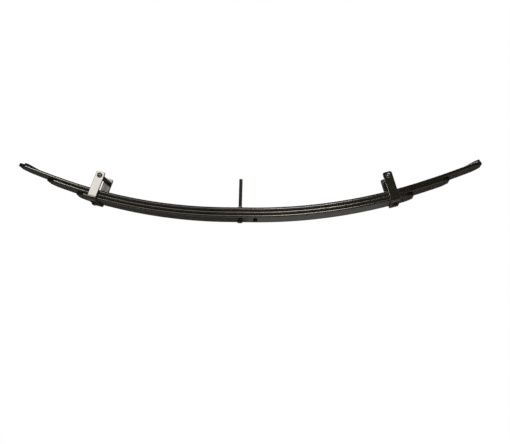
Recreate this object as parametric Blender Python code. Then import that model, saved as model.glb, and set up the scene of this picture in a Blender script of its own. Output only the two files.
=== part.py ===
"""A three-leaf helper spring pack for a light truck's rear axle.

It is modelled as installed: +Z points up, to the hollow side of the bend, where the
truck's own leaves lie. +X runs along the leaves to the longer, rear half. The origin is
on the centre bolt's axis, on the pack's underside, where the axle seat bears. Metres.
"""

import math

import bmesh
import bpy
from mathutils import Matrix, Vector

MM = 0.001
GAP = 0.3 * MM  # between pieces that touch on the real spring

# Leaves
LEAF_WIDTH = 63.5 * MM
LEAF_THICKNESS = 8 * MM
LEAF_EDGE = 1.2 * MM
LEAF_STEP = 22 * MM
LEAF_ENDS = {
    "main_leaf": (-554 * MM, 584.5 * MM),
    "second_leaf": (-474 * MM, 500.5 * MM),
    "third_leaf": (-394 * MM, 409.5 * MM),
}
TRIM_LENGTH = 20 * MM
TRIM_DEPTH = 12 * MM
TRIM_STEPS = 4
TRIM_POWER = 1.7

# The bend of the main leaf's top surface: a flat seat, then two radii
SEAT_HALF = 30 * MM
INNER_ARC_END = 420 * MM
INNER_RADIUS = 1222 * MM
OUTER_RADIUS = 2150 * MM

LEAF_PITCH = LEAF_THICKNESS + GAP
PACK_HEIGHT = 3 * LEAF_THICKNESS + 2 * GAP

# Fasteners
ROUND_SIDES = 24
SHANK_RADIUS = 4 * MM
HOLE_RADIUS = SHANK_RADIUS + GAP
BOLT_POINT = 1 * MM
SPOT_DEPTH = 0.5 * MM  # the shallow flat that a head or nut sits in
NUT_ACROSS_FLATS = 13 * MM
NUT_HEIGHT = 6.8 * MM
WASHER_RADIUS = 8 * MM
WASHER_THICKNESS = 1.6 * MM

CENTER_HEAD_RADIUS = 6.2 * MM
CENTER_HEAD_HEIGHT = 7.6 * MM
CENTER_SPOT_RADIUS = 9 * MM
CENTER_BOLT_REACH = 75.5 * MM
CENTER_NUT_HEIGHT = 4.8 * MM  # a thin nut, which leaves room for the leaf above
SOCKET_ACROSS_FLATS = 6 * MM
SOCKET_DEPTH = 4 * MM

PACK_BOLT_X = 36.5 * MM
PACK_SHANK_RADIUS = 3 * MM
PACK_HEAD_RADIUS = 5 * MM
PACK_HEAD_HEIGHT = 5 * MM
PACK_SPOT_RADIUS = 7 * MM
PACK_NUT_ACROSS_FLATS = 10 * MM
PACK_NUT_HEIGHT = 4 * MM
PACK_BOLT_REACH = 5.4 * MM

# Clips
CLIP_PLACES = {"front": -350.5 * MM, "rear": 364 * MM}
CLIP_LEAN = {"front": 3.5, "rear": 1.5}  # degrees past square to the leaves, inwards
CLIP_TWIST = {"front": -3.1, "rear": 0}  # degrees that a clip is turned about its rivet
STRAP_WIDTH = 22 * MM
STRAP_THICKNESS = 5 * MM
STRAP_EDGE = 0.8 * MM
STRAP_SIDE_GAP = 1.7 * MM
STRAP_BEND_RADIUS = 2 * MM
STRAP_BEND_STEPS = 6
STRAP_FLOOR = -PACK_HEIGHT - GAP - STRAP_THICKNESS / 2  # its middle, below the main leaf's top
EAR_HEIGHT = 43.5 * MM
EAR_CORNER = 4.5 * MM
EAR_CORNER_STEPS = 4
CLIP_BOLT_HEIGHT = 33.5 * MM
CLIP_HEAD_RADIUS = 6.3 * MM
CLIP_HEAD_HEIGHT = 4.5 * MM
SLEEVE_RADIUS = 5.5 * MM
RIVET_HEAD_RADIUS = 6.5 * MM
RIVET_HEAD_HEIGHT = 4.6 * MM
RIVET_TAIL_RADIUS = 6 * MM
RIVET_TAIL_DEPTH = 2.5 * MM

# Tip pads
PAD_PLACES = {"front": -522 * MM, "rear": 563.5 * MM}
PAD_LENGTH = 38 * MM
PAD_WIDTH = 50 * MM
PAD_THICKNESS = 4.6 * MM
PAD_THIN_END = 1.5 * MM
PAD_RAMP = 28 * MM
PAD_EDGE = 1.5 * MM
PAD_LIFT = 0.45 * MM  # the pad's flat base bridges the leaf's slight hollow
PEG_RADIUS = 4.6 * MM
PEG_HOLE_RADIUS = PEG_RADIUS + GAP
PEG_SHY = 0.5 * MM

# The bend of each end of the spring is taken up by two hinges, in the middle of the leaves
ARM_PIVOT = 180 * MM
TIP_PIVOT = 445 * MM

CLEARANCE_CUT = 5 * MM  # how far a cutter runs past what it cuts


def make_material(name, colour, roughness, metallic):
    material = bpy.data.materials.new(name)
    material.use_nodes = True
    shader = material.node_tree.nodes["Principled BSDF"]
    shader.inputs["Base Color"].default_value = (*colour, 1)
    shader.inputs["Roughness"].default_value = roughness
    shader.inputs["Metallic"].default_value = metallic
    return material


def remove_scene_objects():
    for old in list(bpy.data.objects):
        bpy.data.objects.remove(old, do_unlink=True)


def top_line(along):
    """The main leaf's top surface at this arc length from the bolt: (x, z, slope)."""
    reach = abs(along)
    inner = (min(max(reach, SEAT_HALF), INNER_ARC_END) - SEAT_HALF) / INNER_RADIUS
    end = inner + max(reach - INNER_ARC_END, 0) / OUTER_RADIUS
    x = min(reach, SEAT_HALF) + INNER_RADIUS * math.sin(inner)
    x += OUTER_RADIUS * (math.sin(end) - math.sin(inner))
    z = INNER_RADIUS * (1 - math.cos(inner))
    z += OUTER_RADIUS * (math.cos(inner) - math.cos(end))
    side = math.copysign(1, along)
    return side * x, z, side * end


def station(along, height=0.0):
    """A frame on the pack: X along the leaves, Y across, Z square to the top surface."""
    x, z, slope = top_line(along)
    place = Matrix.Translation((x, 0, z + PACK_HEIGHT))
    return place @ Matrix.Rotation(-slope, 4, "Y") @ Matrix.Translation((0, 0, height))


def skin(name, rings, loop=False):
    """A closed mesh through rings of equal size, capped at its ends or joined in a loop."""
    shape = bmesh.new()
    loops = [[shape.verts.new(point) for point in ring] for ring in rings]
    pairs = list(zip(loops, loops[1:] + loops[:1]))
    if not loop:
        pairs.pop()
        shape.faces.new(loops[0])
        shape.faces.new(loops[-1])
    for lower, upper in pairs:
        for i in range(len(lower)):
            j = (i + 1) % len(lower)
            shape.faces.new((lower[i], lower[j], upper[j], upper[i]))
    bmesh.ops.recalc_face_normals(shape, faces=shape.faces)
    mesh = bpy.data.meshes.new(name)
    shape.to_mesh(mesh)
    shape.free()
    mesh.shade_smooth()
    mesh.set_sharp_from_angle(angle=math.radians(30))
    return mesh


def circle(radius, height, sides=ROUND_SIDES):
    turns = [math.tau * i / sides for i in range(sides)]
    return [Vector((radius * math.cos(a), radius * math.sin(a), height)) for a in turns]


def turned(name, profile, loop=False):
    """A round body about Z through (radius, height) pairs."""
    return skin(name, [circle(radius, height) for radius, height in profile], loop)


def dome(radius, height, base, outward):
    """Profile of a domed head that starts at base and bulges along outward (1 or -1)."""
    angles = [math.radians(a) for a in (0, 25, 50, 70, 85)]
    return [
        (radius * math.cos(a), base + outward * (height * (0.25 + 0.75 * math.sin(a))))
        for a in angles
    ]


def block_section(half_width, half_height, edge):
    """Eight corners of a rectangle with its corners cut, as (across, up) pairs."""
    corners = []
    for across, up in ((1, 1), (-1, 1), (-1, -1), (1, -1)):
        steep = (across * half_width, up * (half_height - edge))
        flat = (across * (half_width - edge), up * half_height)
        corners += [steep, flat] if across == up else [flat, steep]
    return corners


def hex_ring(across_flats, height, chamfer=0.0):
    """A hexagon with points along its sides. Chamfer drops its corners as a cone would."""
    ring = []
    for point in circle(1, 0):
        turn = math.atan2(point.y, point.x) % math.radians(60)
        radius = across_flats / 2 / math.cos(turn - math.radians(30))
        drop = chamfer * (radius - across_flats / 2)
        ring.append(Vector((point.x * radius, point.y * radius, height - drop)))
    return ring


def nut_mesh(name, across_flats, height, bore):
    rings = [
        circle(bore, 0),
        circle(across_flats / 2, 0),
        hex_ring(across_flats, 0, chamfer=-0.6),
        hex_ring(across_flats, height, chamfer=0.6),
        circle(across_flats / 2 * 0.97, height),
        circle(bore, height),
    ]
    return skin(name, rings, loop=True)


def washer_mesh(name):
    outline = [
        (HOLE_RADIUS, 0),
        (WASHER_RADIUS, 0),
        (WASHER_RADIUS, WASHER_THICKNESS),
        (HOLE_RADIUS, WASHER_THICKNESS),
    ]
    return turned(name, outline, loop=True)


def world_place(thing):
    """Where an object is in the world, through its parents. None is the world itself."""
    if thing is None:
        return Matrix.Identity(4)
    return world_place(thing.parent) @ thing.matrix_basis


def add_object(name, mesh, material=None, place=None, parent=None):
    made = bpy.data.objects.new(name, mesh)
    bpy.context.scene.collection.objects.link(made)
    if material:
        made.data.materials.clear()
        made.data.materials.append(material)
    made.parent = parent
    made.matrix_basis = world_place(parent).inverted() @ (place or Matrix.Identity(4))
    return made


def add_cutter(name, mesh, place):
    cutter = add_object(name, mesh, place=place)
    cutter.hide_render = True
    cutter.display_type = "WIRE"
    return cutter


def cut(target, cutter):
    boolean = target.modifiers.new(cutter.name, "BOOLEAN")
    boolean.operation = "DIFFERENCE"
    boolean.object = cutter
    boolean.solver = "EXACT"


def leaf_stations(front_end, rear_end):
    """(arc length, half width) pairs from end to end, narrowed at the trimmed ends."""
    trims = [TRIM_LENGTH * i / TRIM_STEPS for i in range(TRIM_STEPS + 1)]
    middle = [-SEAT_HALF, SEAT_HALF]
    places = []
    for end in (front_end, rear_end):
        side = math.copysign(1, end)
        places += [end - side * trim for trim in trims]
        run = abs(end) - TRIM_LENGTH - SEAT_HALF
        count = round(run / LEAF_STEP)
        places += [side * (SEAT_HALF + run * i / count) for i in range(1, count)]
    pairs = []
    for along in sorted(places + middle):
        left = min(along - front_end, rear_end - along, TRIM_LENGTH)
        inset = TRIM_DEPTH * (1 - left / TRIM_LENGTH) ** TRIM_POWER
        pairs.append((along, LEAF_WIDTH / 2 - inset))
    return pairs


def add_leaf(name, depth, material):
    """One leaf, its top surface this far below the main leaf's top surface."""
    rings = []
    for along, half_width in leaf_stations(*LEAF_ENDS[name]):
        frame = station(along, -depth - LEAF_THICKNESS / 2)
        section = block_section(half_width, LEAF_THICKNESS / 2, LEAF_EDGE)
        rings.append([frame @ Vector((0, across, up)) for across, up in section])
    return add_object(name, skin(name, rings), material)


def upright_hole(name, x, radius, spot_radius):
    """A cutter through the whole pack, with a shallow wider flat at its top and bottom."""
    low, high = -CLEARANCE_CUT, PACK_HEIGHT + CLEARANCE_CUT
    floor, ceiling = SPOT_DEPTH, PACK_HEIGHT - SPOT_DEPTH
    profile = [
        (spot_radius, low),
        (spot_radius, floor),
        (radius, floor),
        (radius, ceiling),
        (spot_radius, ceiling),
        (spot_radius, high),
    ]
    return add_cutter(name, turned(name, profile), Matrix.Translation((x, 0, 0)))


def seat_bolt_mesh(name, shank, head, head_height, reach):
    """A round-headed bolt, its head below the pack and its point this far above it."""
    head_top = SPOT_DEPTH - GAP
    head_end = head_top - head_height
    tip = PACK_HEIGHT + reach
    profile = [
        (head - BOLT_POINT, head_end),
        (head, head_end + BOLT_POINT),
        (head, head_top),
        (shank, head_top),
        (shank, tip - BOLT_POINT),
        (shank - BOLT_POINT, tip),
    ]
    return turned(name, profile)


def add_center_bolt(steel, plated):
    bolt_mesh = seat_bolt_mesh(
        "center_bolt", SHANK_RADIUS, CENTER_HEAD_RADIUS, CENTER_HEAD_HEIGHT, CENTER_BOLT_REACH
    )
    bolt = add_object("center_bolt", bolt_mesh, steel)
    socket = [
        hex_ring(SOCKET_ACROSS_FLATS, -SOCKET_DEPTH),
        hex_ring(SOCKET_ACROSS_FLATS, SOCKET_DEPTH),
    ]
    place = Matrix.Translation((0, 0, SPOT_DEPTH - GAP - CENTER_HEAD_HEIGHT))
    cut(bolt, add_cutter("center_socket_cutter", skin("center_socket", socket), place))
    washer_place = Matrix.Translation((0, 0, PACK_HEIGHT - SPOT_DEPTH + GAP))
    add_object("center_washer", washer_mesh("center_washer"), plated, washer_place)
    nut = nut_mesh("center_nut", NUT_ACROSS_FLATS, CENTER_NUT_HEIGHT, HOLE_RADIUS)
    nut_place = washer_place @ Matrix.Translation((0, 0, WASHER_THICKNESS + GAP))
    add_object("center_nut", nut, plated, nut_place)


def add_pack_bolt(steel, plated):
    bolt = seat_bolt_mesh(
        "pack_bolt", PACK_SHANK_RADIUS, PACK_HEAD_RADIUS, PACK_HEAD_HEIGHT, PACK_BOLT_REACH
    )
    add_object("pack_bolt", bolt, steel, Matrix.Translation((PACK_BOLT_X, 0, 0)))
    bore = PACK_SHANK_RADIUS + GAP
    nut = nut_mesh("pack_nut", PACK_NUT_ACROSS_FLATS, PACK_NUT_HEIGHT, bore)
    nut_place = Matrix.Translation((PACK_BOLT_X, 0, PACK_HEIGHT - SPOT_DEPTH + GAP))
    add_object("pack_nut", nut, plated, nut_place)


def strap_mesh(slant):
    """A flat bar bent into a U round the pack, its ears' top corners rounded.

    The walk goes from one ear's top, down, under the pack and up to the other. Slant is
    how far the ears lean along X for each metre above the strap's floor.
    """
    inner = LEAF_WIDTH / 2 + STRAP_SIDE_GAP
    middle_radius = STRAP_BEND_RADIUS + STRAP_THICKNESS / 2
    ear_y = inner + STRAP_THICKNESS / 2
    half_width = STRAP_WIDTH / 2
    walk = []
    for i in range(EAR_CORNER_STEPS + 1):
        turn = math.pi / 2 * i / EAR_CORNER_STEPS
        drop = EAR_CORNER * (1 - math.cos(turn))
        width = half_width - EAR_CORNER * (1 - math.sin(turn))
        walk.append((-ear_y, EAR_HEIGHT - drop, math.pi, width))
    for i in range(STRAP_BEND_STEPS + 1):
        turn = math.pi / 2 * i / STRAP_BEND_STEPS
        y = -ear_y + middle_radius * (1 - math.cos(turn))
        z = STRAP_FLOOR + middle_radius * (1 - math.sin(turn))
        walk.append((y, z, math.pi + turn, half_width))
    mirrored = [(-y, z, math.pi - turn, width) for y, z, turn, width in reversed(walk)]
    rings = []
    for y, z, turn, width in walk + mirrored:
        out = Vector((0, math.cos(turn), math.sin(turn)))
        section = block_section(width, STRAP_THICKNESS / 2, STRAP_EDGE)
        lean = slant * (z - STRAP_FLOOR)
        rings.append([Vector((lean + across, y, z)) + out * up for across, up in section])
    return skin("clip_strap", rings)


def clip_bolt_frame(slant):
    """The clip bolt's frame on its clip. Its Z points across the pack, to the nut."""
    middle = (slant * (CLIP_BOLT_HEIGHT - STRAP_FLOOR), 0, CLIP_BOLT_HEIGHT)
    return Matrix.Translation(middle) @ Matrix.Rotation(-math.pi / 2, 4, "X")


def clip_bolt_mesh(ear_face, end):
    profile = [
        (SHANK_RADIUS - BOLT_POINT, end),
        (SHANK_RADIUS, end - BOLT_POINT),
        (SHANK_RADIUS, -ear_face - GAP),
        (CLIP_HEAD_RADIUS, -ear_face - GAP),
    ]
    head = dome(CLIP_HEAD_RADIUS, CLIP_HEAD_HEIGHT, -ear_face - GAP, -1)
    return turned("clip_bolt", profile + head)


def rivet_mesh():
    """Domed under the strap, and spread into a countersink in the third leaf's top."""
    tail_top = -2 * LEAF_PITCH - GAP
    head_top = -PACK_HEIGHT - STRAP_THICKNESS - 2 * GAP
    profile = [
        (RIVET_TAIL_RADIUS - GAP, tail_top),
        (SHANK_RADIUS, tail_top - RIVET_TAIL_DEPTH),
        (SHANK_RADIUS, head_top),
        (RIVET_HEAD_RADIUS, head_top),
    ]
    return turned("clip_rivet", profile + dome(RIVET_HEAD_RADIUS, RIVET_HEAD_HEIGHT, head_top, -1))


def rivet_hole_mesh():
    leaf_top = -2 * LEAF_PITCH
    sink_end = leaf_top - RIVET_TAIL_DEPTH - GAP
    profile = [
        (RIVET_TAIL_RADIUS + GAP, leaf_top + GAP / 2),
        (HOLE_RADIUS, sink_end),
        (HOLE_RADIUS, -PACK_HEIGHT - STRAP_THICKNESS - CLEARANCE_CUT),
    ]
    return turned("rivet_hole", profile)


def add_clip(end, materials, third_leaf, parent):
    paint, steel, plated = materials
    twist = Matrix.Rotation(math.radians(CLIP_TWIST[end]), 4, "Z")
    place = station(CLIP_PLACES[end]) @ twist
    inwards = -math.copysign(1, CLIP_PLACES[end])
    slant = inwards * math.tan(math.radians(CLIP_LEAN[end]))
    bolt_frame = place @ clip_bolt_frame(slant)
    inner_face = LEAF_WIDTH / 2 + STRAP_SIDE_GAP
    ear_face = inner_face + STRAP_THICKNESS
    nut_seat = ear_face + 2 * GAP + WASHER_THICKNESS
    bolt_end = nut_seat + NUT_HEIGHT + 3 * MM
    cut_end = ear_face + CLEARANCE_CUT

    strap = add_object(f"{end}_clip_strap", strap_mesh(slant), paint, place, parent)
    bolt_hole = turned("clip_hole", [(HOLE_RADIUS, -cut_end), (HOLE_RADIUS, cut_end)])
    cut(strap, add_cutter(f"{end}_clip_hole_cutter", bolt_hole, bolt_frame))
    rivet_hole = add_cutter(f"{end}_rivet_hole_cutter", rivet_hole_mesh(), place)
    cut(strap, rivet_hole)
    cut(third_leaf, rivet_hole)
    add_object(f"{end}_clip_rivet", rivet_mesh(), steel, place, parent)

    bolt = clip_bolt_mesh(ear_face, bolt_end)
    add_object(f"{end}_clip_bolt", bolt, steel, bolt_frame, parent)
    sleeve_half = inner_face - GAP
    tube = [
        (HOLE_RADIUS, -sleeve_half),
        (SLEEVE_RADIUS, -sleeve_half),
        (SLEEVE_RADIUS, sleeve_half),
        (HOLE_RADIUS, sleeve_half),
    ]
    sleeve = turned("clip_sleeve", tube, loop=True)
    add_object(f"{end}_clip_sleeve", sleeve, paint, bolt_frame, parent)
    washer_place = bolt_frame @ Matrix.Translation((0, 0, ear_face + GAP))
    washer = washer_mesh("clip_washer")
    add_object(f"{end}_clip_washer", washer, plated, washer_place, parent)
    nut = nut_mesh("clip_nut", NUT_ACROSS_FLATS, NUT_HEIGHT, HOLE_RADIUS)
    nut_place = bolt_frame @ Matrix.Translation((0, 0, nut_seat))
    add_object(f"{end}_clip_nut", nut, plated, nut_place, parent)


def pad_mesh():
    """A wedge that ramps up from its thin end at -X to its full thickness."""
    half = PAD_LENGTH / 2
    walk = [
        (-half, PAD_THIN_END, PAD_WIDTH / 2 - 2 * PAD_EDGE),
        (-half + PAD_EDGE, PAD_THIN_END + PAD_EDGE / 2, PAD_WIDTH / 2 - PAD_EDGE),
        (-half + PAD_RAMP, PAD_THICKNESS, PAD_WIDTH / 2),
        (half - PAD_EDGE, PAD_THICKNESS, PAD_WIDTH / 2),
        (half, PAD_THICKNESS - PAD_EDGE, PAD_WIDTH / 2 - PAD_EDGE),
    ]
    rings = []
    for x, top, across in walk:
        edge = min(PAD_EDGE, top / 2)
        low = PAD_LIFT
        rings.append(
            [
                Vector((x, across, low)),
                Vector((x, across, top - edge)),
                Vector((x, across - edge, top)),
                Vector((x, edge - across, top)),
                Vector((x, -across, top - edge)),
                Vector((x, -across, low)),
            ]
        )
    return skin("tip_pad", rings)


def add_tip_pad(end, rubber, main_leaf, parent):
    """The pad, with a peg on its underside that plugs into the leaf."""
    place = station(PAD_PLACES[end])
    if end == "front":
        place = place @ Matrix.Rotation(math.pi, 4, "Z")
    pad = add_object(f"{end}_tip_pad", pad_mesh(), rubber, place, parent)
    low, high = PEG_SHY - LEAF_THICKNESS, PAD_LIFT + 1 * MM
    peg = turned("pad_peg", [(PEG_RADIUS, low), (PEG_RADIUS, high)])
    peg = add_cutter(f"{end}_pad_peg", peg, place)
    union = pad.modifiers.new("Peg", "BOOLEAN")
    union.operation = "UNION"
    union.object = peg
    union.solver = "EXACT"
    depth = LEAF_THICKNESS + CLEARANCE_CUT
    hole = turned("pad_hole", [(PEG_HOLE_RADIUS, -depth), (PEG_HOLE_RADIUS, depth)])
    cut(main_leaf, add_cutter(f"{end}_pad_hole_cutter", hole, place))


def add_pivot(end, name, along, depth, parent=None):
    """An empty on a hinge's axis, for what swings about it. Depth is below the top surface."""
    side = -1 if end == "front" else 1
    spot = station(side * along, -depth).translation
    pivot = add_object(f"{end}_{name}", None, place=Matrix.Translation(spot), parent=parent)
    pivot.empty_display_size = 30 * MM
    return pivot


def main():
    remove_scene_objects()
    paint = make_material("black_paint", (0.018, 0.018, 0.016), 0.38, 0.0)
    steel = make_material("black_oxide", (0.035, 0.028, 0.022), 0.42, 0.8)
    plated = make_material("dark_plating", (0.05, 0.047, 0.04), 0.4, 0.8)
    rubber = make_material("black_rubber", (0.012, 0.012, 0.012), 0.6, 0.0)

    leaves = [
        add_leaf(name, i * LEAF_PITCH, paint) for i, name in enumerate(LEAF_ENDS)
    ]
    main_leaf, _, third_leaf = leaves
    center_hole = upright_hole("center_hole_cutter", 0, HOLE_RADIUS, CENTER_SPOT_RADIUS)
    pack_hole = upright_hole(
        "pack_hole_cutter", PACK_BOLT_X, PACK_SHANK_RADIUS + GAP, PACK_SPOT_RADIUS
    )
    for leaf in leaves:
        cut(leaf, center_hole)
        cut(leaf, pack_hole)
    add_center_bolt(steel, plated)
    add_pack_bolt(steel, plated)
    for end in ("front", "rear"):
        arm = add_pivot(end, "arm_pivot", ARM_PIVOT, PACK_HEIGHT / 2)
        add_clip(end, (paint, steel, plated), third_leaf, arm)
        tip = add_pivot(end, "tip_pivot", TIP_PIVOT, LEAF_THICKNESS / 2, arm)
        add_tip_pad(end, rubber, main_leaf, tip)


main()
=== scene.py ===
"""The looks of the three-leaf spring pack: fine meshes, materials, light and camera.

Lengths are in metres. The leaves are cut into lengths that sit on no body; every other piece
rides on one.
"""

import math

import bmesh
import bpy
from mathutils import Matrix, Vector

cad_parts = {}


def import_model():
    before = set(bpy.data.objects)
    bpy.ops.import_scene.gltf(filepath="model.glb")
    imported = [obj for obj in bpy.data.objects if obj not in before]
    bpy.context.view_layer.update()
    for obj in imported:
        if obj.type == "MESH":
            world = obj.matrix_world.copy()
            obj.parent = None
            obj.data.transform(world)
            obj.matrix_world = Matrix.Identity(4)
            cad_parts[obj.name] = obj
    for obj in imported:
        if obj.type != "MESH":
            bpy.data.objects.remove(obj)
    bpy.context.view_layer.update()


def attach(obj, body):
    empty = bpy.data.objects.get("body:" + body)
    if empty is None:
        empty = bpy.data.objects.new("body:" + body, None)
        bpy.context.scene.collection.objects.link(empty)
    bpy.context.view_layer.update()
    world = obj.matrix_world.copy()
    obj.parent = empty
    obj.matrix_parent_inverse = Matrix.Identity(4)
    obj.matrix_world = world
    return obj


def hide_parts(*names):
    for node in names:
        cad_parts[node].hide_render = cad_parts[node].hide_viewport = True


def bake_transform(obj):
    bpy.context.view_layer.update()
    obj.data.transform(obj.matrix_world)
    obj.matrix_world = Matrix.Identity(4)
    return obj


MM = 0.001
GAP = 0.3 * MM

# The bend of the main leaf's top surface, as in the CAD
SEAT_HALF = 30 * MM
INNER_ARC_END = 420 * MM
INNER_RADIUS = 1222 * MM
OUTER_RADIUS = 2150 * MM
LEAF_THICKNESS = 8 * MM
LEAF_PITCH = LEAF_THICKNESS + GAP
PACK_HEIGHT = 3 * LEAF_THICKNESS + 2 * GAP

# Leaves
LEAF_WIDTH = 63.5 * MM
LEAF_ENDS = {
    "main_leaf": (-554 * MM, 584.5 * MM),
    "second_leaf": (-474 * MM, 500.5 * MM),
    "third_leaf": (-394 * MM, 409.5 * MM),
}
LEAF_STEP = 7 * MM
SIDE_BULGE = 2.6 * MM  # how far the rolled side stands out from the edge of the flat
SIDE_POWER = 3.4  # of the superellipse that the rolled side follows
SIDE_STEPS = 10
TRIM_LENGTH = 20 * MM  # over which a leaf narrows to its end
TRIM_DEPTH = 12 * MM  # off each side, at the end itself
TRIM_POWER = 1.7
TRIM_STEPS = 10

# Where the leaves bend as the arms flex, by distance along them
ARM_BEND = (40 * MM, 322 * MM)
TIP_BEND = (378 * MM, 496 * MM)
LEAF_JOIN = 351 * MM  # under the clips

# Fasteners. A head is (radius, height), and the pack bolt's nut (across flats, height)
SHANK_RADIUS = 4 * MM
HOLE_RADIUS = SHANK_RADIUS + GAP
SPOT_DEPTH = 0.5 * MM
THREAD_PITCH = 1.25 * MM
THREAD_DEPTH = 0.3 * MM
THREAD_RADIUS = 4.2 * MM
NUT_ACROSS_FLATS = 13 * MM
NUT_HEIGHT = 6.8 * MM
WASHER_RADIUS = 8 * MM
WASHER_THICKNESS = 1.6 * MM
CENTER_HEAD = (6.2 * MM, 7.6 * MM)
CENTER_SPOT_RADIUS = 9 * MM
CENTER_BOLT_REACH = 75.5 * MM
CENTER_NUT_HEIGHT = 4.8 * MM
SOCKET_ACROSS_FLATS = 6 * MM
SOCKET_DEPTH = 4 * MM
PACK_BOLT_X = 36.5 * MM
PACK_SHANK_RADIUS = 3 * MM
PACK_HEAD = (5 * MM, 5 * MM)
PACK_SPOT_RADIUS = 7 * MM
PACK_NUT = (10 * MM, 4 * MM)
PACK_BOLT_REACH = 5.4 * MM

# Clips
CLIP_PLACES = {"front": -350.5 * MM, "rear": 364 * MM}
CLIP_LEAN = {"front": 3.5, "rear": 1.5}  # degrees the ears lean towards the middle
CLIP_TWIST = {"front": -3.1, "rear": 0}  # degrees the clip is turned on its rivet
STRAP_WIDTH = 22 * MM
STRAP_THICKNESS = 5 * MM
STRAP_EDGE = 0.8 * MM
STRAP_BEND_RADIUS = 2 * MM
STRAP_INNER = LEAF_WIDTH / 2 + 1.7 * MM
STRAP_FLOOR = -PACK_HEIGHT - GAP - STRAP_THICKNESS / 2
EAR_HEIGHT = 43.5 * MM
EAR_CORNER = 4.5 * MM
EAR_FACE = STRAP_INNER + STRAP_THICKNESS
CLIP_BOLT_HEIGHT = 33.5 * MM
CLIP_HEAD = (6.3 * MM, 4.5 * MM)
SLEEVE_RADIUS = 5.5 * MM
RIVET_HEAD = (6.9 * MM, 5.6 * MM)
RIVET_TAIL = (6 * MM, 2.5 * MM)

# Tip pads
PAD_PLACES = {"front": -522 * MM, "rear": 563.5 * MM}
PAD_LENGTH = 38 * MM
PAD_WIDTH = 50 * MM
PAD_THICKNESS = 4.6 * MM
PAD_THIN_END = 1.5 * MM
PAD_RAMP = 28 * MM
PAD_LIFT = 0.45 * MM
PEG_RADIUS = 4.6 * MM

ROUND_SIDES = 48
SHARP_ANGLE = 35  # degrees between two faces above which their edge stays sharp

# Studio. Each light has its name, place, target, size and radiance
BACKDROP_GLOW = 0.05  # in reflections
FLOOR_HALF = 2.5
FLOOR_HEIGHT = -1.3
FLOOR_COLOUR = (0.88, 0.84, 0.77)
LIGHTS = (
    ("left", (-1.49, -3.0, 0.945), (-0.35, 0, 0.12), (0.74, 0.43), 19.0),
    ("fill", (-0.56, -3.0, 0.66), (-0.2, 0, 0.03), (0.84, 0.5), 3.6),
    ("front", (0.12, -3.0, 0.60), (0.1, 0, 0.0), (0.52, 0.32), 25.0),
    ("top", (0.9, 0.3, 2.6), (0, 0, 0), (1.8, 2.0), 11.0),
    ("back", (0.3, 2.6, 1.9), (0, 0, 0), (2.4, 0.7), 5.0),
    ("low", (0.33, 3.0, -0.62), (0.1, 0, 0), (1.1, 0.6), 0.13),
)
EYE_PLACE = (0.18846, -2.17731, -0.42364)
EYE_YAW = 3.998  # degrees, as the next two
EYE_PITCH = 10.864
EYE_ROLL = -1.359
EYE_LENS = 65.7  # millimetres, for a 36 mm wide sensor


# ---------------------------------------------------------------- shape helpers


def top_line(along):
    """The main leaf's top surface at this arc length from the bolt: (x, z, slope)."""
    reach = abs(along)
    inner = (min(max(reach, SEAT_HALF), INNER_ARC_END) - SEAT_HALF) / INNER_RADIUS
    end = inner + max(reach - INNER_ARC_END, 0) / OUTER_RADIUS
    x = min(reach, SEAT_HALF) + INNER_RADIUS * math.sin(inner)
    x += OUTER_RADIUS * (math.sin(end) - math.sin(inner))
    z = INNER_RADIUS * (1 - math.cos(inner))
    z += OUTER_RADIUS * (math.cos(inner) - math.cos(end))
    side = math.copysign(1, along)
    return side * x, z, side * end


def station(along, height=0.0):
    """A frame on the pack: X along the leaves, Y across, Z square to the top surface."""
    x, z, slope = top_line(along)
    place = Matrix.Translation((x, 0, z + PACK_HEIGHT))
    return place @ Matrix.Rotation(-slope, 4, "Y") @ Matrix.Translation((0, 0, height))


def skin(name, rings, loop=False, sharp=SHARP_ANGLE):
    """A closed mesh through rings of equal size, capped at its ends or joined in a loop."""
    shape = bmesh.new()
    loops = [[shape.verts.new(point) for point in ring] for ring in rings]
    pairs = list(zip(loops, loops[1:] + loops[:1]))
    if not loop:
        pairs.pop()
        shape.faces.new(loops[0])
        shape.faces.new(loops[-1])
    for lower, upper in pairs:
        for i in range(len(lower)):
            j = (i + 1) % len(lower)
            shape.faces.new((lower[i], lower[j], upper[j], upper[i]))
    bmesh.ops.recalc_face_normals(shape, faces=shape.faces)
    mesh = bpy.data.meshes.new(name)
    shape.to_mesh(mesh)
    shape.free()
    mesh.shade_smooth()
    mesh.set_sharp_from_angle(angle=math.radians(sharp))
    return mesh


def circle(radius, height, sides=ROUND_SIDES):
    turns = [math.tau * i / sides for i in range(sides)]
    return [Vector((radius * math.cos(a), radius * math.sin(a), height)) for a in turns]


def turned(name, profile, loop=False):
    return skin(name, [circle(radius, height) for radius, height in profile], loop)


def quarter(center_radius, center_height, size, start, steps=5):
    """Profile points of a rounded corner, a quarter turn from start degrees."""
    points = []
    for i in range(steps + 1):
        turn = math.radians(start + 90 * i / steps)
        points.append(
            (center_radius + size * math.cos(turn), center_height + size * math.sin(turn))
        )
    return points


def dome(radius, height, base, outward):
    """Profile of a forged round head that starts at base and bulges outward (1 or -1)."""
    rim = 0.22  # share of the height that its straight rim takes
    steps = 12
    stop = math.radians(88)  # just short of the middle
    points = []
    for i in range(steps + 1):
        turn = stop * i / steps
        rise = height * (rim + (1 - rim) * math.sin(turn))
        points.append((radius * math.cos(turn), base + outward * rise))
    return points


def hex_ring(across_flats, height, chamfer=0.0):
    """A hexagon with points along its sides. Chamfer drops its corners as a cone would."""
    ring = []
    for point in circle(1, 0):
        turn = math.atan2(point.y, point.x) % math.radians(60)
        radius = across_flats / 2 / math.cos(turn - math.radians(30))
        drop = chamfer * (radius - across_flats / 2)
        ring.append(Vector((point.x * radius, point.y * radius, height - drop)))
    return ring


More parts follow.
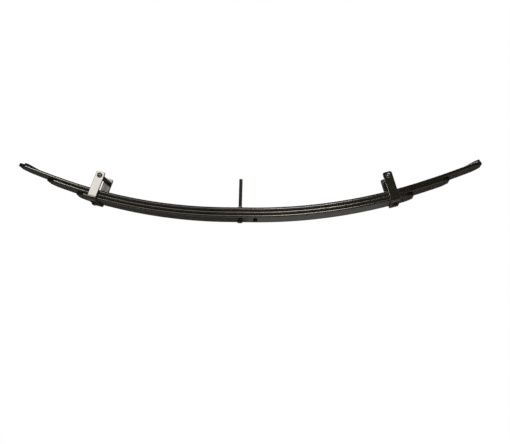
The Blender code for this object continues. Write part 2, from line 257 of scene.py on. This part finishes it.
def rounded_section(half_width, half_height, edge, steps=3):
    """A rectangle with rounded corners, as (across, up) pairs."""
    hold = 0.3 * MM  # an extra point beside each corner keeps the flat faces' shading flat
    corners = []
    for number, (across, up) in enumerate(((1, 1), (-1, 1), (-1, -1), (1, -1))):
        middle = Vector((across * (half_width - edge), up * (half_height - edge)))
        arc = []
        for i in range(steps + 1):
            turn = math.radians(90 * number + 90 * i / steps)
            arc.append(middle + edge * Vector((math.cos(turn), math.sin(turn))))
        begin = math.radians(90 * number)
        before = Vector((math.sin(begin), -math.cos(begin)))
        after = Vector((-math.sin(turn), math.cos(turn)))
        corners += [arc[0] + hold * before] + arc + [arc[-1] + hold * after]
    return corners


def add_object(name, mesh, place=None):
    made = bpy.data.objects.new(name, mesh)
    bpy.context.scene.collection.objects.link(made)
    made.matrix_basis = place or Matrix.Identity(4)
    return made


def joined(name, meshes):
    """One mesh out of several."""
    shape = bmesh.new()
    for part in meshes:
        shape.from_mesh(part)
    mesh = bpy.data.meshes.new(name)
    shape.to_mesh(mesh)
    shape.free()
    mesh.shade_smooth()
    mesh.set_sharp_from_angle(angle=math.radians(SHARP_ANGLE))
    return mesh


def carved(name, mesh, cutters, place=None):
    """The mesh with holes cut by (mesh, place) pairs, as an object."""
    target = add_object(name, mesh, place)
    tools = []
    for number, (cutter, cutter_place) in enumerate(cutters):
        tool = add_object(f"{name}_tool_{number}", cutter, cutter_place)
        boolean = target.modifiers.new(tool.name, "BOOLEAN")
        boolean.operation = "DIFFERENCE"
        boolean.object = tool
        boolean.solver = "EXACT"
        tools.append(tool)
    graph = bpy.context.evaluated_depsgraph_get()
    finished = bpy.data.meshes.new_from_object(target.evaluated_get(graph))
    target.modifiers.clear()
    target.data = finished
    for tool in tools:
        bpy.data.objects.remove(tool, do_unlink=True)
    finished.shade_smooth()
    finished.set_sharp_from_angle(angle=math.radians(SHARP_ANGLE))
    return target


def paint_over(made, material):
    """Give the object this material alone."""
    made.data.materials.clear()
    made.data.materials.append(material)


# ---------------------------------------------------------------- materials


class Nodes:
    """A short way to build a material's node tree."""

    def __init__(self, name):
        self.material = bpy.data.materials.new(name)
        self.material.use_nodes = True
        self.tree = self.material.node_tree
        self.shader = self.tree.nodes["Principled BSDF"]
        self.place = self.add("ShaderNodeTexCoord").outputs["Object"]

    def add(self, kind, **settings):
        node = self.tree.nodes.new(kind)
        for name, value in settings.items():
            setattr(node, name, value)
        return node

    def link(self, source, target):
        self.tree.links.new(source, target)

    def stretched(self, scale):
        """The object's own coordinates, scaled along each axis."""
        mapping = self.add("ShaderNodeMapping")
        self.link(self.place, mapping.inputs["Vector"])
        mapping.inputs["Scale"].default_value = scale
        return mapping.outputs["Vector"]

    def noise(self, scale, detail=4.0, roughness=0.55, vector=None):
        node = self.add("ShaderNodeTexNoise")
        self.link(vector or self.place, node.inputs["Vector"])
        node.inputs["Scale"].default_value = scale
        node.inputs["Detail"].default_value = detail
        node.inputs["Roughness"].default_value = roughness
        return node.outputs["Fac"]

    def ramp(self, value, low, high, start=0.0, end=1.0):
        """The value, from low..high to start..end, held at both ends."""
        node = self.add("ShaderNodeMapRange")
        self.link(value, node.inputs["Value"])
        node.inputs["From Min"].default_value = low
        node.inputs["From Max"].default_value = high
        node.inputs["To Min"].default_value = start
        node.inputs["To Max"].default_value = end
        return node.outputs["Result"]

    def math(self, operation, first, second):
        node = self.add("ShaderNodeMath", operation=operation)
        for socket, value in zip(node.inputs, (first, second)):
            if isinstance(value, (int, float)):
                socket.default_value = value
            else:
                self.link(value, socket)
        return node.outputs["Value"]

    def mix(self, factor, first, second):
        """A colour between two; either may be a colour or a socket."""
        node = self.add("ShaderNodeMix", data_type="RGBA")
        self.link(factor, node.inputs["Factor"])
        for name, value in (("A", first), ("B", second)):
            sockets = [s for s in node.inputs if s.name == name and s.type == "RGBA"]
            if isinstance(value, tuple):
                sockets[0].default_value = (*value, 1)
            else:
                self.link(value, sockets[0])
        return next(s for s in node.outputs if s.type == "RGBA")

    def edges(self, width):
        """1 on edges and corners, 0 on flats, by how much a rounded normal would turn."""
        bevel = self.add("ShaderNodeBevel", samples=6)
        bevel.inputs["Radius"].default_value = width
        geometry = self.add("ShaderNodeNewGeometry")
        dot = self.add("ShaderNodeVectorMath", operation="DOT_PRODUCT")
        self.link(bevel.outputs["Normal"], dot.inputs[0])
        self.link(geometry.outputs["Normal"], dot.inputs[1])
        turned_away = self.math("SUBTRACT", 1.0, dot.outputs["Value"])
        return self.ramp(turned_away, 0.035, 0.095)

    def openness(self, reach):
        """1 in the open, less where other faces stand closer than reach."""
        node = self.add("ShaderNodeAmbientOcclusion", samples=8)
        node.inputs["Distance"].default_value = reach
        return node.outputs["AO"]

    def bump(self, height, strength, distance):
        node = self.add("ShaderNodeBump")
        self.link(height, node.inputs["Height"])
        node.inputs["Strength"].default_value = strength
        node.inputs["Distance"].default_value = distance
        self.link(node.outputs["Normal"], self.shader.inputs["Normal"])

    def finish(self, colour, roughness):
        self.link(colour, self.shader.inputs["Base Color"])
        self.link(roughness, self.shader.inputs["Roughness"])
        return self.material


def paint_material(name, dark, light, worn, gloss, mill_scale):
    """Black paint over rolled steel: faint mill streaks, dust, orange peel and worn edges."""
    nodes = Nodes(name)
    clouds = nodes.noise(9.0, detail=5)
    streaks = nodes.noise(mill_scale, detail=3, vector=nodes.stretched((0.12, 1, 1)))
    grime = nodes.noise(55.0, detail=6, roughness=0.65)
    base = nodes.mix(nodes.ramp(clouds, 0.35, 0.68), dark, light)
    shade = nodes.ramp(streaks, 0.3, 0.72)
    base = nodes.mix(nodes.math("MULTIPLY", shade, 0.35), base, light)
    wear = nodes.math("MULTIPLY", nodes.edges(0.0009), nodes.ramp(grime, 0.42, 0.66))
    base = nodes.mix(wear, base, worn)
    low, high = gloss
    rough = nodes.ramp(nodes.math("ADD", clouds, grime), 0.75, 1.25, low, high)
    peel = nodes.noise(900.0, detail=2)
    height = nodes.math("ADD", nodes.math("MULTIPLY", peel, 0.35), streaks)
    nodes.bump(nodes.math("ADD", height, grime), 0.03, 0.00025)
    # Duller where other faces stand close, as in the corners of a clip
    sheltered = nodes.ramp(nodes.openness(0.09), 0.45, 0.75, 0.32, 0.0)
    rough = nodes.math("ADD", rough, sheltered)
    nodes.shader.inputs["Specular Tint"].default_value = (1.0, 0.96, 0.87, 1.0)
    return nodes.finish(base, rough)


def steel_material(name, dark, light, bright, gloss):
    """Blackened or plated steel: brown tint, fine pits and edges rubbed brighter."""
    nodes = Nodes(name)
    clouds = nodes.noise(60.0, detail=4)
    pits = nodes.noise(800.0, detail=3)
    base = nodes.mix(nodes.ramp(clouds, 0.35, 0.7), dark, light)
    rubbed = nodes.math("MULTIPLY", nodes.edges(0.0006), nodes.ramp(clouds, 0.25, 0.6))
    base = nodes.mix(rubbed, base, bright)
    low, high = gloss
    rough = nodes.ramp(nodes.math("ADD", clouds, pits), 0.8, 1.25, low, high)
    nodes.bump(nodes.math("ADD", pits, clouds), 0.3, 0.00015)
    nodes.shader.inputs["Metallic"].default_value = 0.75
    return nodes.finish(base, rough)


def rubber_material(name, dark, light):
    """Moulded black rubber, matt and slightly dusty, with a fine moulded grain."""
    nodes = Nodes(name)
    dust = nodes.noise(70.0, detail=5, roughness=0.6)
    grain = nodes.noise(1400.0, detail=2)
    base = nodes.mix(nodes.ramp(dust, 0.4, 0.75), dark, light)
    rough = nodes.ramp(dust, 0.3, 0.7, 0.6, 0.85)
    nodes.shader.inputs["Specular IOR Level"].default_value = 0.3
    nodes.bump(nodes.math("ADD", grain, dust), 0.4, 0.0002)
    return nodes.finish(base, rough)


def studio_material(name, colour, roughness):
    """A nearly even floor, very slightly mottled."""
    nodes = Nodes(name)
    mottle = nodes.noise(3.0, detail=2)
    soft = tuple(c * 0.985 for c in colour)
    base = nodes.mix(nodes.ramp(mottle, 0.3, 0.7), colour, soft)
    return nodes.finish(base, nodes.ramp(mottle, 0.3, 0.7, roughness, roughness + 0.05))


# ---------------------------------------------------------------- leaves


def leaf_section(half_width):
    """The leaf's rolled section: flat faces and full, rounded sides."""
    half = LEAF_THICKNESS / 2
    side = []
    for i in range(SIDE_STEPS + 1):
        turn = math.pi * (0.5 - i / SIDE_STEPS)
        bulge = abs(math.cos(turn)) ** (2 / SIDE_POWER)
        rise = math.copysign(abs(math.sin(turn)) ** (2 / SIDE_POWER), math.sin(turn))
        side.append((half_width - SIDE_BULGE * (1 - bulge), half * rise))
    flat = half_width - SIDE_BULGE
    across = [flat * share for share in (0.97, 0.75, 0.5, 0.25, 0, -0.25, -0.5, -0.75, -0.97)]
    bottom = [(y, -half) for y in across]
    top = [(y, half) for y in reversed(across)]
    other = [(-y, -z) for y, z in side]
    return side + bottom + other + top


def leaf_places(ends, start, stop):
    """(arc length, inset of the sides) pairs from start to stop, closer near a trimmed end."""
    places = {start, stop}
    run = stop - start
    count = max(round(run / LEAF_STEP), 1)
    places |= {start + run * i / count for i in range(count + 1)}
    for end in ends:
        side = math.copysign(1, end)
        for i in range(TRIM_STEPS + 1):
            places.add(end - side * TRIM_LENGTH * i / TRIM_STEPS)
    near = [p for p in places if start <= p <= stop]
    pairs = []
    for along in sorted(near):
        left = min(along - ends[0], ends[1] - along)
        trim = 1 - min(left, TRIM_LENGTH) / TRIM_LENGTH
        pairs.append((along, TRIM_DEPTH * trim**TRIM_POWER))
    return pairs


def leaf_mesh(name, ends, start, stop, depth):
    """A length of one leaf, its top surface this far below the main leaf's."""
    rings = []
    for along, inset in leaf_places(ends, start, stop):
        frame = station(along, -depth - LEAF_THICKNESS / 2)
        section = leaf_section(LEAF_WIDTH / 2 - inset)
        rings.append([frame @ Vector((0, across, up)) for across, up in section])
    return skin(name, rings)


def upright_tool(x, radius, spot_radius):
    """A bolt's hole through the pack and a shallow spot face at each end of it."""
    low, high = -5 * MM, PACK_HEIGHT + 5 * MM
    floor, ceiling = SPOT_DEPTH, PACK_HEIGHT - SPOT_DEPTH
    profile = [
        (spot_radius, low),
        (spot_radius, floor),
        (radius, floor),
        (radius, ceiling),
        (spot_radius, ceiling),
        (spot_radius, high),
    ]
    return turned("upright_tool", profile), Matrix.Translation((x, 0, 0))


def rivet_tool(place):
    """A countersink from the third leaf's top, and the hole below it."""
    top = -2 * LEAF_PITCH
    radius, depth = RIVET_TAIL
    profile = [
        (radius + GAP, top + GAP / 2),
        (HOLE_RADIUS, top - depth - GAP),
        (HOLE_RADIUS, -PACK_HEIGHT - STRAP_THICKNESS - 5 * MM),
    ]
    return turned("rivet_tool", profile), place


def peg_tool(place):
    """The hole in the main leaf that holds a tip pad's peg."""
    reach = LEAF_THICKNESS + 5 * MM
    return turned("peg_tool", [(PEG_RADIUS + GAP, -reach), (PEG_RADIUS + GAP, reach)]), place


def bend_point(end, along):
    """A point in the middle of the pack, this far along it from the bolt."""
    side = -1 if end == "front" else 1
    return station(side * along, -PACK_HEIGHT / 2).translation


def add_leaves(paint):
    """Each leaf in lengths, cut at the bolt and, on the longer two, under the clips."""
    center = upright_tool(0, HOLE_RADIUS, CENTER_SPOT_RADIUS)
    pack = upright_tool(PACK_BOLT_X, PACK_SHANK_RADIUS + GAP, PACK_SPOT_RADIUS)
    for number, (node, ends) in enumerate(LEAF_ENDS.items()):
        for end, leaf_end in zip(("front", "rear"), ends):
            side = math.copysign(1, leaf_end)
            join = side * LEAF_JOIN
            whole = node == "third_leaf"
            inner_stop = leaf_end if whole else join
            tools = [center] + ([pack] if end == "rear" else [])
            if whole:
                tools.append(rivet_tool(station(CLIP_PLACES[end])))
            start, stop = sorted((0, inner_stop))
            mesh = leaf_mesh(node, ends, start, stop, number * LEAF_PITCH)
            inner = carved(f"{node}_{end}_inner", mesh, tools)
            pieces = [(inner, "leaf_pack", f"{end}_arm", ARM_BEND)]
            if not whole:
                start, stop = sorted((join, leaf_end))
                mesh = leaf_mesh(node, ends, start, stop, number * LEAF_PITCH)
                tools = [peg_tool(station(PAD_PLACES[end]))] if number == 0 else []
                outer = carved(f"{node}_{end}_outer", mesh, tools)
                pieces.append((outer, f"{end}_arm", f"{end}_tip", TIP_BEND))
            for piece, first, second, (bend_start, bend_end) in pieces:
                paint_over(piece, paint)
                bend_point(end, bend_start)
                bend_point(end, bend_end)
                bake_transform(piece)
                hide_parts(node)


# ---------------------------------------------------------------- fasteners


def threaded_rings(start, stop, sides):
    """Rings along Z whose valley winds round them as a helix, faded out at both ends."""
    rings = []
    steps_per_turn = 6
    fade_steps = 4
    count = round((stop - start) / THREAD_PITCH * steps_per_turn)
    for step in range(count + 1):
        height = start + (stop - start) * step / count
        fade = min(step, count - step, fade_steps) / fade_steps
        ring = []
        for i in range(sides):
            turn = math.tau * i / sides
            phase = (height / THREAD_PITCH - i / sides) % 1
            valley = THREAD_DEPTH * abs(2 * phase - 1) * fade
            radius = THREAD_RADIUS - valley
            ring.append(Vector((radius * math.cos(turn), radius * math.sin(turn), height)))
        rings.append(ring)
    return rings


def bolt_mesh(name, head_rings, shank, thread_start, tip, sides=24):
    """A bolt out of its head's profile, a plain shank and, if it has one, a thread."""
    rings = [circle(radius, height, sides) for radius, height in head_rings]
    point = 1 * MM
    if thread_start is None:
        rings.append(circle(shank, tip - point, sides))
    else:
        rings += threaded_rings(thread_start, tip - point, sides)
    rings.append(circle(shank - point, tip, sides))
    return skin(name, rings)


def socket_head_profile(radius, height, top):
    """A cylinder head below the pack: rounded rim, then its straight side up to top."""
    low = top - height
    profile = [(radius * 0.6, low)]
    profile += quarter(radius - 1 * MM, low + 1 * MM, 1 * MM, -90)
    profile.append((radius, top))
    return profile


def nut_mesh(name, across_flats, height, bore):
    """A hexagon nut: both faces round and chamfered, its bore countersunk at both ends."""
    sink = 0.4 * MM
    rim = 0.15 * MM
    slope = 0.6
    lower_face = across_flats / 2 * 0.96
    upper_face = across_flats / 2 * 0.94
    rings = [
        circle(bore, sink),
        circle(bore + sink, 0),
        circle(lower_face, 0),
        hex_ring(across_flats, rim, chamfer=-slope),
        hex_ring(across_flats, height - rim, chamfer=slope),
        circle(upper_face, height),
        circle(bore + sink, height),
        circle(bore, height - sink),
    ]
    return skin(name, rings, loop=True, sharp=28)


def washer_mesh(name):
    edge = 0.25 * MM
    outer = WASHER_RADIUS - edge
    profile = [(HOLE_RADIUS, 0)]
    profile += quarter(outer, edge, edge, -90, steps=3)
    profile += quarter(outer, WASHER_THICKNESS - edge, edge, 0, steps=3)
    profile.append((HOLE_RADIUS, WASHER_THICKNESS))
    return turned(name, profile, loop=True)


def finish_piece(made, node, body, material):
    paint_over(made, material)
    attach(made, body)
    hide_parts(node)


def add_piece(node, mesh, place, body, material):
    finish_piece(add_object(f"{node}_look", mesh, place), node, body, material)


def add_pack_fasteners(steel, plated):
    top = SPOT_DEPTH - GAP
    tip = PACK_HEIGHT + CENTER_BOLT_REACH
    radius, height = CENTER_HEAD
    head = socket_head_profile(radius, height, top)
    head += [(SHANK_RADIUS, top)]
    mesh = bolt_mesh("center_bolt", head, SHANK_RADIUS, PACK_HEIGHT + 1.5 * MM, tip)
    socket = [
        hex_ring(SOCKET_ACROSS_FLATS, -SOCKET_DEPTH),
        hex_ring(SOCKET_ACROSS_FLATS, SOCKET_DEPTH),
    ]
    socket_place = Matrix.Translation((0, 0, top - height))
    bolt = carved("center_bolt_look", mesh, [(skin("socket", socket), socket_place)])
    finish_piece(bolt, "center_bolt", "leaf_pack", steel)

    washer_place = Matrix.Translation((0, 0, PACK_HEIGHT - SPOT_DEPTH + GAP))
    washer = washer_mesh("center_washer")
    add_piece("center_washer", washer, washer_place, "leaf_pack", plated)
    nut_place = washer_place @ Matrix.Translation((0, 0, WASHER_THICKNESS + GAP))
    nut = nut_mesh("center_nut", NUT_ACROSS_FLATS, CENTER_NUT_HEIGHT, HOLE_RADIUS)
    add_piece("center_nut", nut, nut_place, "leaf_pack", plated)

    radius, height = PACK_HEAD
    head = socket_head_profile(radius, height, top) + [(PACK_SHANK_RADIUS, top)]
    tip = PACK_HEIGHT + PACK_BOLT_REACH
    mesh = bolt_mesh("pack_bolt", head, PACK_SHANK_RADIUS, None, tip)
    place = Matrix.Translation((PACK_BOLT_X, 0, 0))
    add_piece("pack_bolt", mesh, place, "leaf_pack", steel)
    across, height = PACK_NUT
    nut = nut_mesh("pack_nut", across, height, PACK_SHANK_RADIUS + GAP)
    nut_place = Matrix.Translation((PACK_BOLT_X, 0, PACK_HEIGHT - SPOT_DEPTH + GAP))
    add_piece("pack_nut", nut, nut_place, "leaf_pack", plated)


# ---------------------------------------------------------------- clips


def strap_mesh(slant):
    """A flat bar bent into a U round the pack, its ears' top corners rounded."""
    middle_radius = STRAP_BEND_RADIUS + STRAP_THICKNESS / 2
    ear_y = STRAP_INNER + STRAP_THICKNESS / 2
    half_width = STRAP_WIDTH / 2
    corner_steps, bend_steps, flat_steps = 10, 14, 8
    walk = []
    for i in range(corner_steps + 1):
        turn = math.pi / 2 * i / corner_steps
        drop = EAR_CORNER * (1 - math.cos(turn))
        width = half_width - EAR_CORNER * (1 - math.sin(turn))
        walk.append((-ear_y, EAR_HEIGHT - drop, math.pi, width))
    ear_low = STRAP_FLOOR + middle_radius
    ear_run = EAR_HEIGHT - EAR_CORNER - ear_low
    for i in range(1, flat_steps):
        height = EAR_HEIGHT - EAR_CORNER - ear_run * i / flat_steps
        walk.append((-ear_y, height, math.pi, half_width))
    for i in range(bend_steps + 1):
        turn = math.pi / 2 * i / bend_steps
        y = -ear_y + middle_radius * (1 - math.cos(turn))
        z = STRAP_FLOOR + middle_radius * (1 - math.sin(turn))
        walk.append((y, z, math.pi + turn, half_width))
    mirrored = [(-y, z, math.pi - turn, width) for y, z, turn, width in reversed(walk)]
    rings = []
    for y, z, turn, width in walk + mirrored:
        out = Vector((0, math.cos(turn), math.sin(turn)))
        section = rounded_section(width, STRAP_THICKNESS / 2, STRAP_EDGE)
        lean = slant * (z - STRAP_FLOOR)
        rings.append([Vector((lean + across, y, z)) + out * up for across, up in section])
    return skin("clip_strap", rings)


def clip_bolt_frame(slant):
    """The clip bolt's place in its clip, with Z along the bolt and away from its head."""
    middle = (slant * (CLIP_BOLT_HEIGHT - STRAP_FLOOR), 0, CLIP_BOLT_HEIGHT)
    return Matrix.Translation(middle) @ Matrix.Rotation(-math.pi / 2, 4, "X")


def clip_bolt_mesh(end):
    radius, height = CLIP_HEAD
    base = -EAR_FACE - GAP
    head = list(reversed(dome(radius, height, base, -1)))
    head += [(radius, base), (SHANK_RADIUS, base)]
    return bolt_mesh("clip_bolt", head, SHANK_RADIUS, end - 20 * MM, end, sides=32)


def rivet_mesh():
    """A rivet set into the third leaf's countersink, its round head below the strap."""
    tail_radius, tail_depth = RIVET_TAIL
    head_radius, head_height = RIVET_HEAD
    tail_top = -2 * LEAF_PITCH - GAP
    head_top = -PACK_HEIGHT - STRAP_THICKNESS - 2 * GAP
    profile = [
        (tail_radius - GAP, tail_top),
        (SHANK_RADIUS, tail_top - tail_depth),
        (SHANK_RADIUS, head_top),
        (head_radius, head_top),
    ]
    return turned("clip_rivet", profile + dome(head_radius, head_height, head_top, -1))


def add_clip(end, paint, steel, plated, bright_steel):
    arm = f"{end}_arm"
    twist = Matrix.Rotation(math.radians(CLIP_TWIST[end]), 4, "Z")
    place = station(CLIP_PLACES[end]) @ twist
    inwards = -math.copysign(1, CLIP_PLACES[end])
    slant = inwards * math.tan(math.radians(CLIP_LEAN[end]))
    bolt_frame = place @ clip_bolt_frame(slant)
    hole_reach = EAR_FACE + 5 * MM
    bolt_hole = turned("clip_hole", [(HOLE_RADIUS, -hole_reach), (HOLE_RADIUS, hole_reach)])
    strap = carved(
        f"{end}_clip_strap_look",
        strap_mesh(slant),
        [(bolt_hole, bolt_frame), rivet_tool(place)],
        place,
    )
    finish_piece(strap, f"{end}_clip_strap", arm, paint)
    add_piece(f"{end}_clip_rivet", rivet_mesh(), place, arm, steel)

    nut_seat = EAR_FACE + 2 * GAP + WASHER_THICKNESS
    bolt = clip_bolt_mesh(nut_seat + NUT_HEIGHT + 3 * MM)
    add_piece(f"{end}_clip_bolt", bolt, bolt_frame, arm, bright_steel)
    washer_place = bolt_frame @ Matrix.Translation((0, 0, EAR_FACE + GAP))
    washer = washer_mesh("clip_washer")
    add_piece(f"{end}_clip_washer", washer, washer_place, arm, plated)
    nut_place = bolt_frame @ Matrix.Translation((0, 0, nut_seat))
    nut = nut_mesh("clip_nut", NUT_ACROSS_FLATS, NUT_HEIGHT, HOLE_RADIUS)
    add_piece(f"{end}_clip_nut", nut, nut_place, arm, plated)

    half = STRAP_INNER - GAP
    rim = 0.5 * MM
    profile = [(HOLE_RADIUS, -half)]
    profile += quarter(SLEEVE_RADIUS - rim, -half + rim, rim, -90, steps=3)
    profile += quarter(SLEEVE_RADIUS - rim, half - rim, rim, 0, steps=3)
    profile.append((HOLE_RADIUS, half))
    sleeve = turned("clip_sleeve", profile, loop=True)
    add_piece(
        f"{end}_clip_sleeve", sleeve, bolt_frame, f"{end}_sleeve", paint
    )


# ---------------------------------------------------------------- tip pads


def pad_mesh():
    """A moulded wedge that ramps up from its thin end at -X to its full thickness."""
    half = PAD_LENGTH / 2
    steps = 24
    nose = 2.5 * MM  # the length over which both ends round off
    nose_share = 0.35  # of the height, left at the ends themselves
    nose_inset = 1.5 * MM
    edge_radius = 1.6 * MM
    rings = []
    for i in range(steps + 1):
        turn = math.pi * i / steps
        x = -half * math.cos(turn)
        ramp = min(max((x + half) / PAD_RAMP, 0), 1)
        ramp = ramp * ramp * (3 - 2 * ramp) * 0.5 + ramp * 0.5
        top = PAD_THIN_END + (PAD_THICKNESS - PAD_THIN_END) * ramp
        left = min(x + half, half - x)
        close = math.sqrt(max(1 - (1 - min(left / nose, 1)) ** 2, 0))
        top = PAD_LIFT + (top - PAD_LIFT) * (nose_share + (1 - nose_share) * close)
        across = PAD_WIDTH / 2 - nose_inset * (1 - close)
        edge = min(edge_radius, (top - PAD_LIFT) * 0.8)
        corner = [
            (across - edge + edge * math.cos(a), top - edge + edge * math.sin(a))
            for a in (math.radians(15 * n) for n in range(7))
        ]
        upper = corner + [(-y, z) for y, z in reversed(corner)]
        points = [(across, PAD_LIFT)] + upper + [(-across, PAD_LIFT)]
        rings.append([Vector((x, y, z)) for y, z in points])
    return skin("tip_pad", rings)


def add_tip_pad(end, rubber):
    place = station(PAD_PLACES[end])
    if end == "front":
        place = place @ Matrix.Rotation(math.pi, 4, "Z")
    low = 0.5 * MM - LEAF_THICKNESS
    rim = 0.6 * MM
    profile = quarter(PEG_RADIUS - rim, low + rim, rim, -90, steps=3)
    peg = turned("pad_peg", profile + [(PEG_RADIUS, PAD_LIFT + 0.6 * MM)])
    mesh = joined("tip_pad", [pad_mesh(), peg])
    add_piece(f"{end}_tip_pad", mesh, place, f"{end}_tip", rubber)


# ---------------------------------------------------------------- studio


def add_area_light(name, position, target, size, radiance):
    light = bpy.data.lights.new(name, "AREA")
    light.shape = "RECTANGLE"
    light.size, light.size_y = size
    light.energy = radiance * math.pi * size[0] * size[1]
    lamp = bpy.data.objects.new(name, light)
    bpy.context.scene.collection.objects.link(lamp)
    lamp.location = position
    aim = Vector(target) - Vector(position)
    lamp.rotation_euler = aim.to_track_quat("-Z", "Y").to_euler()
    lamp.visible_camera = False


def add_studio():
    """A small pale floor, a white backdrop all round, and soft lights.

    The backdrop is white to the eye and nearly dark in reflections, where the lights show.
    """
    floor_material = studio_material("studio_floor", FLOOR_COLOUR, 0.8)
    half = FLOOR_HALF
    corners = [(-half, -half), (half, -half), (half, half), (-half, half)]
    shape = bmesh.new()
    shape.faces.new([shape.verts.new((x, y, FLOOR_HEIGHT)) for x, y in corners])
    mesh = bpy.data.meshes.new("floor")
    shape.to_mesh(mesh)
    shape.free()
    floor = add_object("floor", mesh)
    floor.data.materials.append(floor_material)

    world = bpy.data.worlds.new("studio")
    bpy.context.scene.world = world
    world.use_nodes = True
    tree = world.node_tree
    background = tree.nodes["Background"]
    background.inputs["Color"].default_value = (1, 1, 1, 1)
    seen = tree.nodes.new("ShaderNodeLightPath").outputs["Is Camera Ray"]
    strength = tree.nodes.new("ShaderNodeMapRange")
    strength.inputs["To Min"].default_value = BACKDROP_GLOW
    strength.inputs["To Max"].default_value = 1.0
    tree.links.new(seen, strength.inputs["Value"])
    tree.links.new(strength.outputs["Result"], background.inputs["Strength"])
    for name, position, target, size, radiance in LIGHTS:
        add_area_light(name, position, target, size, radiance)


def add_camera():
    """The eye is below the spring's ends and a little to the right of its middle."""
    camera = bpy.data.cameras.new("camera")
    camera.lens = EYE_LENS
    camera.sensor_width = 36
    camera.clip_start = 0.05
    camera.clip_end = 50
    eye = bpy.data.objects.new("camera", camera)
    bpy.context.scene.collection.objects.link(eye)
    turn = Matrix.Rotation(math.radians(EYE_YAW), 4, "Z")
    turn = turn @ Matrix.Rotation(math.radians(EYE_PITCH), 4, "X")
    turn = turn @ Matrix.Rotation(math.radians(EYE_ROLL), 4, "Y")
    turn = turn @ Matrix.Rotation(math.pi / 2, 4, "X")
    eye.matrix_world = Matrix.Translation(EYE_PLACE) @ turn
    bpy.context.scene.camera = eye


def main():
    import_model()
    paint = paint_material(
        "black_paint_look",
        dark=(0.010, 0.0075, 0.0040),
        light=(0.022, 0.018, 0.0115),
        worn=(0.12, 0.11, 0.095),
        gloss=(0.11, 0.18),
        mill_scale=60.0,
    )
    clip_paint = paint_material(
        "clip_paint_look",
        dark=(0.010, 0.0080, 0.0042),
        light=(0.020, 0.0175, 0.0105),
        worn=(0.12, 0.11, 0.095),
        gloss=(0.06, 0.11),
        mill_scale=90.0,
    )
    steel = steel_material(
        "black_oxide_look",
        dark=(0.03, 0.022, 0.016),
        light=(0.07, 0.055, 0.04),
        bright=(0.3, 0.27, 0.23),
        gloss=(0.32, 0.5),
    )
    plated = steel_material(
        "dark_plating_look",
        dark=(0.06, 0.055, 0.045),
        light=(0.14, 0.13, 0.11),
        bright=(0.4, 0.38, 0.34),
        gloss=(0.28, 0.45),
    )
    bright_steel = steel_material(
        "rubbed_oxide_look",
        dark=(0.12, 0.105, 0.085),
        light=(0.3, 0.28, 0.24),
        bright=(0.5, 0.47, 0.42),
        gloss=(0.24, 0.4),
    )
    rubber = rubber_material("black_rubber_look", (0.006, 0.006, 0.006), (0.02, 0.019, 0.018))

    add_leaves(paint)
    add_pack_fasteners(steel, plated)
    for end in ("front", "rear"):
        add_clip(end, clip_paint, steel, plated, bright_steel)
        add_tip_pad(end, rubber)
    add_studio()
    add_camera()
    bpy.context.scene.view_settings.view_transform = "Standard"


main()
